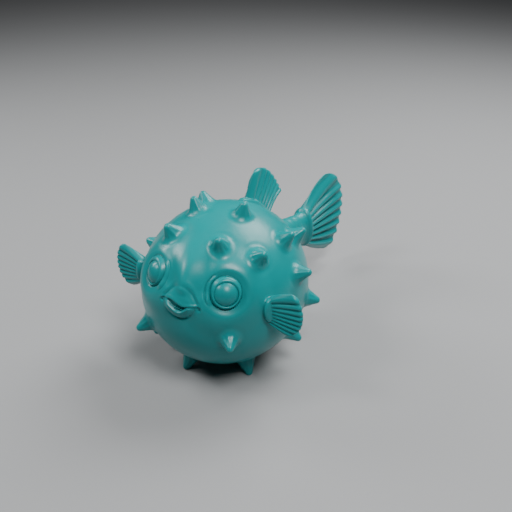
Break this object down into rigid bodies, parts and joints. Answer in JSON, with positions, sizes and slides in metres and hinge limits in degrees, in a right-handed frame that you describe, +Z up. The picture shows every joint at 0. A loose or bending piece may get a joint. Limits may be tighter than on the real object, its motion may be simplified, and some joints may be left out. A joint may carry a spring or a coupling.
{
  "type": "pufferfish figurine",
  "caption": "Puffed-up pufferfish figurine: a spiny ball body with big lidded eyes, a small pouting mouth, ribbed fan fins and a bent tail, standing on its lower spines.",
  "frame": {"origin": "on the surface the figurine stands on, below the middle of its bounding box", "axes": "+Z up, -Y the way the fish faces, +X the fish's left side"},
  "size_m": [0.093, 0.1486, 0.0805],
  "materials": {
    "plastic": "satin teal, one colour all over"
  },
  "bodies": {
    "root": {"head": "plastic", "upper_lip": "plastic", "lower_lip": "plastic", "eye_left": "plastic", "eye_right": "plastic", "trunk": "plastic", "pectoral_fin_left": "plastic", "pectoral_fin_right": "plastic", "dorsal_fin": "plastic", "anal_fin": "plastic", "tail_peduncle": "plastic", "tail_fin": "plastic"}
  },
  "joints": []
}
